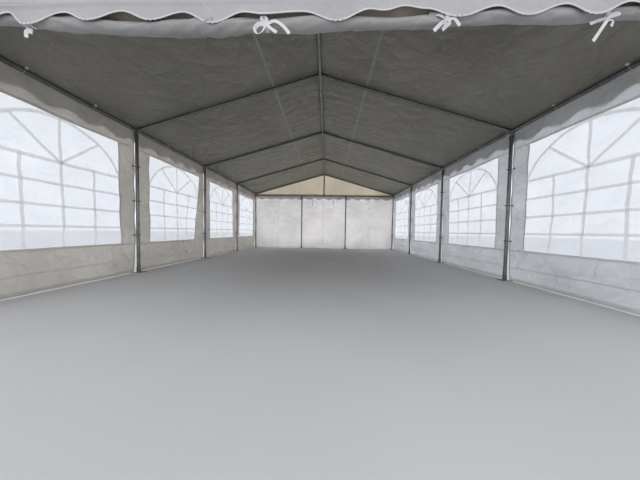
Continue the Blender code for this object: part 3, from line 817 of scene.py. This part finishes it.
def build_wall(side, bay):
    word = WORDS[side]
    place, low_y, high_y, centre = wall_place(side, bay)
    jambs = (centre - WINDOW_HALF, centre + WINDOW_HALF)
    lines_y = np.unique(np.concatenate([
        steps(low_y, jambs[0], 0.023), steps(*jambs, 0.026), steps(jambs[1], high_y, 0.023),
    ]).round(6))
    lines_z = np.unique(np.concatenate([
        steps(WALL_FOOT, WINDOW_SILL, 0.024), steps(WINDOW_SILL, WINDOW_HEAD, 0.026),
        steps(WINDOW_HEAD, WALL_TOP, 0.026),
    ]).round(6))
    y, z = np.meshgrid(lines_y, lines_z, indexing="xy")
    middle_y = (lines_y[:-1] + lines_y[1:]) / 2
    middle_z = (lines_z[:-1] + lines_z[1:]) / 2
    in_window = np.outer(
        (middle_z > WINDOW_SILL) & (middle_z < WINDOW_HEAD), (middle_y > jambs[0]) & (middle_y < jambs[1]),
    )
    faces = grid_faces(*y.shape, keep=~in_window)
    film_faces = grid_faces(*y.shape, keep=in_window)
    if side < 0:
        faces, film_faces = faces[:, ::-1], film_faces[:, ::-1]
    points = place(y, z)
    made = add_mesh(f"wall_sheet_{word}_{bay}", points, faces, [WALL_SHEETS[side]])
    thicken(made)
    settle(made, "white_sheet", f"wall_{word}_{bay}")
    film = add_mesh(f"window_film_{word}_{bay}", place(y, z, CLOTH / 2), film_faces, [FILM])
    settle(film, "clear_sheet", f"window_{word}_{bay}")

    bars = Trim()
    for path, wide in window_bars(centre):
        bars.strip(place, path, wide, *BAR_DEPTHS)
    bar_piece = bars.make(f"window_bars_{word}_{bay}", BAR_TAPE, "white_sheet")

    seams = Trim()
    full = steps(low_y + 0.002, high_y - 0.002, TAPE_STEP)
    for height, wide in ((2.022, 0.022), (0.474, 0.024), (0.22, 0.014)):
        seams.strip(place, np.stack([full, np.full_like(full, height)], axis=-1), wide, *TAPE_DEPTHS)
    seams.strip(place, np.stack([full, np.full_like(full, 0.032)], axis=-1), 0.045, *TAPE_DEPTHS)
    for jamb, away in zip(jambs, (-1, 1)):
        tall = steps(WINDOW_SILL, WINDOW_HEAD, TAPE_STEP)
        seams.strip(place, np.stack([np.full_like(tall, jamb + away * 0.012), tall], axis=-1), 0.022, *TAPE_DEPTHS)
    for edge in (low_y + 0.014, high_y - 0.014):
        tall = steps(WALL_FOOT + 0.05, WALL_TOP - 0.03, TAPE_STEP)
        seams.strip(place, np.stack([np.full_like(tall, edge), tall], axis=-1), 0.026, *TAPE_DEPTHS)
    seam_piece = seams.make(f"wall_seams_{word}_{bay}", SEAM_TAPE, "white_sheet")


# The back wall

def back_place(x, z, inward=0.0):
    x, z = np.broadcast_arrays(np.asarray(x, float), np.asarray(z, float))
    hang = smooth_step(z, 2.22, 1.8)
    posts = 1 - 0.9 * np.exp(-(((np.abs(x) - GABLE_POST_X) / 0.06) ** 2))
    corners = smooth_step(np.abs(x), 2.98, 2.7)
    out = hang * corners * (0.012 + 0.012 * ripple(x, z, 1.6, 7.7) + 0.004 * ripple(x, 1.5 * z, 0.45, 4.4))
    for k, level in enumerate((0.55, 0.86, 1.12, 1.38, 1.62, 1.84)):
        line = level + (0.042 + 0.006 * k) * (x - 0.15 * math.sin(2.0 * k)) ** 2 - 0.05
        out = out + hang * corners * 0.006 * np.exp(-(((z - line) / 0.028) ** 2)) * (1 + 0.6 * np.sin(1.7 * x + 2 * k))
    out = out + smooth_step(z, 0.4, 0.0) * corners * 0.010 * ripple(x, 0.3 * z, 0.5, 9.1)
    out = np.maximum(out, -0.002 - 0.04 * posts * corners) * (0.2 + 0.8 * posts)
    narrow = 0.045 * smooth_step(z, 1.9, 1.0) * smooth_step(np.abs(x), 2.0, 3.0) * np.sign(x)
    return np.stack([x - narrow, BACK_Y + np.maximum(out, -0.0015 - 0.02 * posts) - inward, z], axis=-1)


def build_back_wall():
    half = 2.9985
    x, z = np.meshgrid(steps(-half, half, 0.032), steps(WALL_FOOT, WALL_TOP, 0.026), indexing="xy")
    faces = grid_faces(*x.shape)[:, ::-1]
    made = add_mesh("back_sheet", back_place(x, z), faces, [BACK_SHEET])
    thicken(made)
    settle(made, "white_sheet", "back_wall")
    trim = Trim()
    wide = steps(-half + 0.002, half - 0.002, TAPE_STEP)
    for height, width in ((0.03, 0.04), (0.22, 0.014), (1.98, 0.016)):
        trim.strip(back_place, np.stack([wide, np.full_like(wide, height)], axis=-1), width, *TAPE_DEPTHS)
    tall = steps(WALL_FOOT + 0.01, WALL_TOP - 0.03, TAPE_STEP)
    for line in (-2.98, -1.99, -0.02, 1.97, 2.98):
        trim.strip(back_place, np.stack([np.full_like(tall, line), tall], axis=-1), 0.024, *TAPE_DEPTHS)
    seams = trim.make("back_seams", SEAM_TAPE, "white_sheet")
    straps = Trim()
    for line, lean in ((-0.495, 0.012), (0.41, -0.01)):
        high = np.linspace(BEAM_HEIGHT + 0.02, 1.80, 16)
        share = np.linspace(0, 1, 16)
        path = np.stack([line + lean * share, 3.965 + 0.012 * np.sin(3 * share), high], axis=-1)
        across = np.stack([np.cos(0.9 * share), np.sin(0.9 * share), 0 * share], axis=-1)
        straps.ribbon(path, across, 0.026, 0.0014)
        loop = np.linspace(-0.4, 2 * math.pi - 0.9, 22)
        ring = np.stack([np.full_like(loop, line), 4.0 - 0.0285 * np.cos(loop), 2.25 + 0.0285 * np.sin(loop)], axis=-1)
        straps.ribbon(ring, np.tile([1.0, 0.0, 0.0], (22, 1)), 0.026, 0.0014)
    strap_piece = straps.make("back_straps", RIBBON, "white_sheet")


# The rolled front wall

def roll_line(x):
    table = np.array(ROLL_LINE)
    fine = np.linspace(table[0, 0], table[-1, 0], 400)
    values = []
    for column in (1, 2):
        line = np.interp(fine, table[:, 0], table[:, column])
        kernel = np.hanning(23)
        padded = np.pad(line, 11, mode="edge")
        values.append(np.interp(x, fine, np.convolve(padded, kernel / kernel.sum(), mode="valid")))
    return values


def roll_lump(x, angle):
    """How the roll swells and folds round its girth, the same for every layer."""
    lump = 0.05 * ripple(x, 0.12 * np.cos(angle), 0.5, 2.2) + 0.03 * ripple(2 * x, 0.25 * np.sin(angle), 0.4, 6.0)
    for tie, _, _ in TIES:
        off = x - tie
        near = np.exp(-((off / 0.17) ** 2)) * np.minimum(1, np.abs(off) / 0.04)
        lump = lump + near * 0.15 * np.sin(5 * angle + 14 * off + 2 * tie)
    for middle, reach, turns, pace, high in (
        (-0.60, 0.22, 5, 40, 0.26), (-1.62, 0.18, 4, -26, 0.18), (0.33, 0.08, 4, 52, 0.22), (0.80, 0.10, 5, 44, 0.20),
        (-0.98, 0.12, 4, 36, 0.13), (0.05, 0.15, 5, 22, 0.10), (1.30, 0.20, 5, -18, 0.10), (-1.25, 0.12, 5, 24, 0.12),
        (1.60, 0.12, 4, 30, 0.10),
    ):
        crest = (0.5 + 0.5 * np.sin(turns * angle + pace * x)) ** 3
        lump = lump + np.exp(-(((x - middle) / reach) ** 2)) * high * (crest - 0.4)
    return lump


def build_roll():
    x = steps(-ROLL_END, ROLL_END, 0.03)
    height, radius = roll_line(x)
    face = -GABLE_Y + 0.0052
    bend_z = BEAM_HEIGHT - SLEEVE_RADIUS - 0.002
    reach_y, reach_z = face - ROLL_Y, bend_z - height
    distance = np.hypot(reach_y, reach_z)
    touch = np.arctan2(reach_z, reach_y) - np.arccos(np.clip(radius / distance, -1, 1))
    rows = []
    for z in (WALL_TOP, 2.29, 2.255, bend_z + 0.003):
        rows.append(np.stack([x, np.full_like(x, face), np.full_like(x, z)], axis=-1))
    turned = np.concatenate([
        np.linspace(0, 1.5, 42, endpoint=False), np.linspace(1.5, ROLL_TURNS, 139),
    ])
    for turns in turned:
        angle = touch - 2 * math.pi * turns
        share = 1 - turns / (ROLL_TURNS + 0.6)
        wide = radius * share * (1 + roll_lump(x, angle) * smooth_step(turns, 0.0, 0.12))
        rows.append(np.stack([
            x + 0.004 * np.sin(7 * turns), ROLL_Y + wide * np.cos(angle), height + wide * np.sin(angle),
        ], axis=-1))
    first = rows[4]
    for share in (0.33, 0.66):
        rows.insert(4 + (share > 0.5), rows[3] + (first - rows[3]) * share)
    points = np.stack(rows)
    faces = grid_faces(*points.shape[:2])[:, ::-1]
    made = add_mesh("front_roll_sheet", points, faces, [SHADED_ROLL_SHEET, FLAP_SHEET], sharp=60)
    flap_faces = 6 * (len(x) - 1)
    made.data.polygons.foreach_set("material_index", [1] * flap_faces + [0] * (len(faces) - flap_faces))
    thicken(made, 0.001)
    settle(made, "white_sheet", "front_wall_roll")
    ribbons = Trim()
    for tie, level, lines in TIES:
        add_bow(ribbons, tie, level, lines)
    bows = ribbons.make("roll_ties", RIBBON, "white_sheet")


def add_bow(ribbons, x, level, lines):
    """A ribbon round the roll, and its knot, loops and ends in front."""
    height, radius = (float(v[0]) for v in roll_line(np.array([x])))
    angles = np.linspace(0, 2 * math.pi, 40)
    girth = radius * (1 + roll_lump(np.full_like(angles, x), angles)) + 0.003
    loop = np.stack([
        np.full_like(angles, x), ROLL_Y + girth * np.cos(angles), height + girth * np.sin(angles),
    ], axis=-1)
    ribbons.ribbon(loop, np.tile([1.0, 0.0, 0.0], (40, 1)), 0.022)
    lift = level - height
    front = ROLL_Y - math.sqrt(max(girth.max() ** 2 - lift**2, 0.0001)) - 0.010
    knot = [(-0.013, 0.005), (-0.009, 0.010), (0.0, 0.012), (0.009, 0.010), (0.013, 0.005)]
    ribbons.turned((x, front, level), (1, 0.2, 0.35), knot, 12)
    for turn, *line in lines:
        path = smooth_path([(x + across, front - out, level + up) for across, up, out in line])
        run = np.gradient(path, axis=0)
        flat = np.cross(run, (0.0, 1.0, 0.0))
        flat /= np.linalg.norm(flat, axis=1)[:, None]
        swing = turn * np.sin(np.linspace(0.3, 2.6, len(path)))[:, None]
        ribbons.ribbon(path, flat * (1 - 0.5 * swing) + swing * np.array([[0.0, 1.0, 0.0]]), 0.023)


# Ball ties, post ties and eyelets

BALL_PROFILE = [(BALL_RADIUS * math.cos(a), BALL_RADIUS * math.sin(a)) for a in np.linspace(0.12, math.pi - 0.12, 11)]


def add_ball(balls, cords, centre, around, plane_a, plane_b, reach):
    """One elastic ball tie: a ball with a looped cord that runs round a tube."""
    balls.turned(centre, Vector(centre) - Vector(around), BALL_PROFILE)
    angles = np.linspace(0, 2 * math.pi, 30, endpoint=False)
    loop = np.asarray(around) + reach * (
        np.outer(np.cos(angles), plane_a) + np.outer(np.sin(angles), plane_b)
    )
    cords.cord(loop, 0.0022, closed=True, sides=6)
    balls.turned(
        np.asarray(centre) - 0.0125 * np.asarray((Vector(centre) - Vector(around)).normalized()),
        Vector(centre) - Vector(around), [(-0.002, 0.003), (-0.001, 0.0048), (0.002, 0.005), (0.003, 0.004)], 10,
    )


def build_ties():
    for side in (-1, 1):
        word = WORDS[side]
        balls, cords = Trim(), Trim()
        for k in range(13):
            y = -HALF_LENGTH + k * BAY / 3
            if k % 3:
                add_ball(
                    balls, cords, (side * 2.926, y, 2.333), (side * HALF_WIDTH, y, EAVE_HEIGHT),
                    (1, 0, 0), (0, 0.12, 1), TUBE_RADIUS + LOOP_GAP,
                )
        for y in FRAME_LINES:
            shift = 0.0 if abs(y) < 3.9 else -math.copysign(0.02, y)
            add_ball(
                balls, cords, (side * 2.9245, y + shift, 2.252), (side * HALF_WIDTH, y, 2.252),
                (1, 0, 0.1), (0, 1, 0), SLEEVE_RADIUS + LOOP_GAP,
            )
        balls.make(f"tie_balls_{word}", BALL, "white_sheet")
        cords.make(f"tie_loops_{word}", ELASTIC, "white_sheet")
        bands, eyelets = Trim(), Trim()
        for y in FRAME_LINES:
            for height in BAND_HEIGHTS:
                droop = 0.006 * math.sin(5 * height + y)
                angles = np.radians(np.linspace(-118, 118, 15))
                line = [
                    (side * (HALF_WIDTH - BAND_RADIUS * math.cos(a)), y + BAND_RADIUS * math.sin(a)) for a in angles
                ]
                ends = [reach for reach in (-BAND_REACH, BAND_REACH) if abs(y + reach) < HALF_LENGTH]
                if -BAND_REACH in ends:
                    line.insert(0, (side * BAND_X, y - BAND_REACH))
                if BAND_REACH in ends:
                    line.append((side * BAND_X, y + BAND_REACH))
                path = smooth_path([(px, py, height + droop * (py - y) / 0.05) for px, py in line], 0.008)
                bands.ribbon(path, np.tile([0.0, 0.0, 1.0], (len(path), 1)), 0.011, 0.003)
                bands.turned(
                    (side * (HALF_WIDTH - 0.034), y + 0.012 * math.sin(9 * height + y), height),
                    (0, 1, 0.3), TOGGLE_PROFILE, 10,
                )
                for reach in ends:
                    eyelets.turned(
                        (side * 2.9975, y + reach, height), (1, 0, 0),
                        EYELET_PROFILE, 14,
                    )
        bands.make(f"post_ties_{word}", DARK_CLIP, "white_sheet")
        eyelets.make(f"wall_eyelets_{word}", STEEL, "galvanised_tube")


def main():
    for name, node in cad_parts.items():
        node.data.materials[0] = STEEL
    build_roof()
    build_gable(-1, "front")
    build_gable(1, "back")
    for side in (-1, 1):
        for bay in (1, 2, 3, 4):
            build_wall(side, bay)
    build_back_wall()
    build_roll()
    build_ties()


def build_stage():
    """Pale floor, soft light and the camera at the photograph's place."""
    size = 60.0
    x, y = np.meshgrid(np.linspace(-size, size, 9), np.linspace(-size, size, 9), indexing="xy")
    points = np.stack([x, y, 0 * x - 0.0005], axis=-1)
    shader = Shader("floor")
    tone = shader.mix(shader.span(shader.noise(0.8, 4.0), 0.3, 0.7), rgb(0.56, 0.56, 0.56), rgb(0.60, 0.60, 0.60))
    pale = shader.output(shader.node("ShaderNodeBsdfPrincipled", {"Base Color": tone, "Roughness": 0.7}).outputs[0])
    floor = add_mesh("floor", points, grid_faces(9, 9), [pale])
    floor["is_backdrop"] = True

    world = bpy.data.worlds.new("soft_sky")
    world.use_nodes = True
    background = world.node_tree.nodes["Background"]
    background.inputs["Color"].default_value = (0.94, 0.957, 1.0, 1.0)
    background.inputs["Strength"].default_value = 1.22
    bpy.context.scene.world = world
    bpy.context.scene.view_settings.view_transform = "Standard"

    for name, place, aim, width, height, power in (
        ("front_light", (0.5, -9.0, 4.2), (0, -4.0, 2.1), 7.0, 3.0, 34.0),
        ("back_light", (0.0, 8.5, 2.0), (0, 4.0, 1.4), 7.0, 3.0, 240.0),
        ("fill_light", (0.0, 2.3, 0.10), (0, 2.3, 3.0), 4.6, 3.0, 24.0),
    ):
        data = bpy.data.lights.new(name, "AREA")
        data.shape = "RECTANGLE"
        data.size, data.size_y = width, height
        data.energy = power
        light = bpy.data.objects.new(name, data)
        light.location = place
        light.visible_camera = False
        light.rotation_euler = (Vector(aim) - Vector(place)).to_track_quat("-Z", "Y").to_euler()
        bpy.context.scene.collection.objects.link(light)

    yaw, pitch, roll = 0.0296, -0.0388, -0.0161
    turn = Matrix.Rotation(yaw, 3, "Z") @ Matrix.Rotation(pitch, 3, "X") @ Matrix.Rotation(roll, 3, "Y")
    axes = Matrix((turn.col[0], turn.col[2], -turn.col[1])).transposed()
    data = bpy.data.cameras.new("camera")
    data.sensor_width = 36.0
    data.lens = 12.336
    data.clip_start, data.clip_end = 0.05, 300.0
    camera = bpy.data.objects.new("camera", data)
    camera.matrix_world = Matrix.Translation((0.1423, -5.5319, 0.7222)) @ axes.to_4x4()
    bpy.context.scene.collection.objects.link(camera)
    bpy.context.scene.camera = camera


build_stage()
main()

boxes = [[list(corner) for corner in box] for box in (cad_box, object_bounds())]
